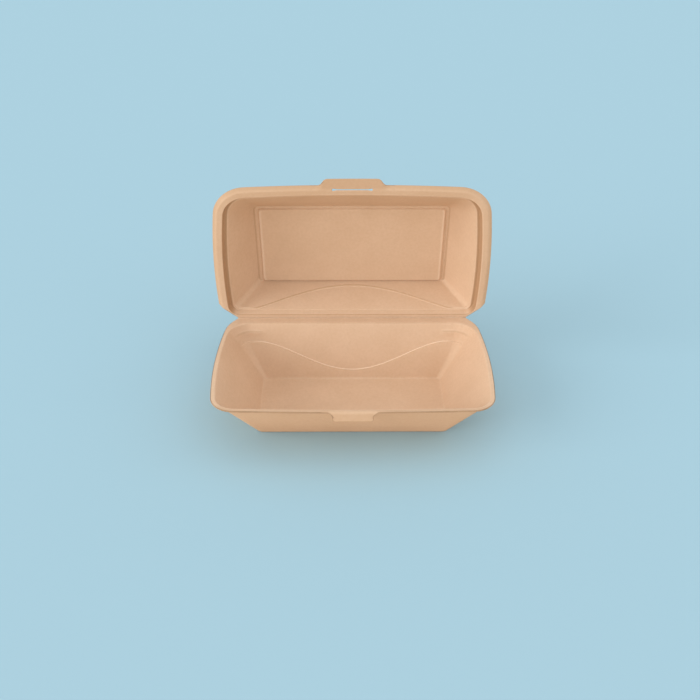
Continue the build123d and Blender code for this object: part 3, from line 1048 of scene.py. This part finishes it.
def fibre_material():
    """Pressed plant fibre: tan, matte, faintly mottled, with fine fibres in its surface, and with
    painted shade and painted highlights in its colour.
    """
    material = bpy.data.materials.new("moulded_fibre")
    material.use_nodes = True
    tree = material.node_tree
    nodes, links = tree.nodes, tree.links
    shader = nodes["Principled BSDF"]
    place = nodes.new("ShaderNodeTexCoord")

    def noise(scale, detail, stretch=(1, 1, 1), turn=(0, 0, 0)):
        mapping = nodes.new("ShaderNodeMapping")
        mapping.inputs["Scale"].default_value = stretch
        mapping.inputs["Rotation"].default_value = turn
        texture = nodes.new("ShaderNodeTexNoise")
        texture.inputs["Scale"].default_value = scale
        texture.inputs["Detail"].default_value = detail
        links.new(place.outputs["Object"], mapping.inputs["Vector"])
        links.new(mapping.outputs["Vector"], texture.inputs["Vector"])
        return texture.outputs["Fac"]

    def span(value, low, high, from_low=0.3, from_high=0.7):
        node = nodes.new("ShaderNodeMapRange")
        node.inputs["From Min"].default_value = from_low
        node.inputs["From Max"].default_value = from_high
        node.inputs["To Min"].default_value = low
        node.inputs["To Max"].default_value = high
        links.new(value, node.inputs["Value"])
        return node.outputs["Result"]

    cloud = noise(CLOUD_SCALE, 3)
    pulp = noise(PULP_SCALE, 4)
    fibres = [noise(STRAND_SCALE, 2, stretch, turn) for stretch, turn in STRANDS]
    colour = mixed(tree, span(cloud, 0, 1), *CLOUD_COLOURS)
    colour = mixed(tree, span(pulp, 0, PULP_SHARE, 0.35, 0.75), colour, PULP_COLOUR)
    for strand in fibres:
        colour = mixed(tree, span(strand, 0, STRAND_SHARE, 0.62, 0.80), colour, STRAND_COLOUR)
    # Painted shade and painted highlights: the point attribute darkens the colour where shade falls
    # in folds and under edges, and pales it at the highlights
    folds = nodes.new("ShaderNodeAttribute")
    folds.attribute_name = "darkness"
    darkness = folds.outputs["Fac"]
    colour = mixed(tree, span(darkness, 0, PAINTED_LIGHT_SHARE, 0, 1), colour, PAINTED_SHADE_COLOUR)
    colour = mixed(tree, span(darkness, PAINTED_LIGHT_SHARE, 0, -1, 0), colour, PAINTED_HIGHLIGHT_COLOUR)
    links.new(colour, shader.inputs["Base Color"])
    links.new(span(pulp, *ROUGHNESS), shader.inputs["Roughness"])
    shader.inputs["Specular IOR Level"].default_value = 0.35
    height = nodes.new("ShaderNodeMath")
    height.operation = "ADD"
    links.new(pulp, height.inputs[0])
    links.new(span(fibres[0], 0, 0.5, 0.5, 0.8), height.inputs[1])
    bump = nodes.new("ShaderNodeBump")
    bump.inputs["Strength"].default_value = 0.35
    bump.inputs["Distance"].default_value = BUMP_HEIGHT
    links.new(height.outputs["Value"], bump.inputs["Height"])
    links.new(bump.outputs["Normal"], shader.inputs["Normal"])
    return material


def lit_and_seen(tree, lit, seen):
    """A mix that lights the scene with one colour, and is seen or mirrored as another."""
    rays = tree.nodes.new("ShaderNodeLightPath")
    share = rays.outputs["Is Camera Ray"]
    for kind in ("Is Glossy Ray", "Is Transmission Ray"):
        either = tree.nodes.new("ShaderNodeMath")
        either.operation = "MAXIMUM"
        tree.links.new(share, either.inputs[0])
        tree.links.new(rays.outputs[kind], either.inputs[1])
        share = either.outputs["Value"]
    return mixed(tree, share, lit, seen)


def floor_material():
    """A pale blue floor that throws light of a warm white back onto the box."""
    paint = bpy.data.materials.new("pale_floor")
    paint.use_nodes = True
    tree = paint.node_tree
    shader = tree.nodes["Principled BSDF"]
    shader.inputs["Roughness"].default_value = 0.9
    shader.inputs["Specular IOR Level"].default_value = 0.0
    colour = lit_and_seen(tree, FLOOR_BOUNCE, FLOOR_COLOUR)
    tree.links.new(colour, shader.inputs["Base Color"])
    return paint


def away_from_box(azimuth, elevation):
    """The direction from the box to where something stands. In front of it the azimuth is 0."""
    return Vector((
        math.sin(azimuth) * math.cos(elevation), -math.cos(azimuth) * math.cos(elevation),
        math.sin(elevation),
    ))


def look_back(obj, away):
    """Turns a camera or a light so that it looks the other way than the direction."""
    obj.rotation_mode = "QUATERNION"
    obj.rotation_quaternion = away.to_track_quat("Z", "Y")


def studio():
    """A plain pale floor under even light, with a soft key light from the left."""
    floor_mesh = bpy.data.meshes.new("floor")
    size = FLOOR_SIZE
    floor_mesh.from_pydata(
        [(-size, -size, 0), (size, -size, 0), (size, size, 0), (-size, size, 0)], [], [(0, 1, 2, 3)]
    )
    floor = linked("floor", floor_mesh)
    floor_mesh.materials.append(floor_material())
    world = bpy.data.worlds.new("studio")
    bpy.context.scene.world = world
    world.use_nodes = True
    tree = world.node_tree
    seen = lit_and_seen(tree, WORLD_LIGHT, BACKDROP)
    tree.links.new(seen, tree.nodes["Background"].inputs["Color"])
    for name, strength, azimuth, elevation, spread in LIGHTS:
        lamp = bpy.data.lights.new(name, "SUN")
        lamp.energy = strength
        lamp.angle = math.radians(spread)
        away = away_from_box(math.radians(azimuth), math.radians(elevation))
        look_back(linked(name, lamp), away)


def add_camera():
    """The camera at the photograph's viewing angle."""
    data = bpy.data.cameras.new("camera")
    data.sensor_width = 36
    data.lens = FOCAL_PIXELS / IMAGE_SIDE * data.sensor_width
    data.clip_start = 0.01
    data.clip_end = 50
    camera = linked("camera", data)
    away = away_from_box(CAMERA_AZIMUTH, CAMERA_ELEVATION)
    camera.location = CAMERA_TARGET + away * CAMERA_DISTANCE
    look_back(camera, away)
    bpy.context.scene.camera = camera


fibre = fibre_material()
base = build_base()
lid = build_lid()
stand_open(lid)
crease = hinge_crease()
for piece, body, node in ((base, "base", "base_tray"), (lid, "lid", "lid_tray")):
    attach(piece, body)
    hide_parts(node)
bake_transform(crease)
for piece in (base, lid, crease):
    piece.data.materials.append(fibre)
studio()
add_camera()
bpy.context.scene.view_settings.view_transform = "Standard"
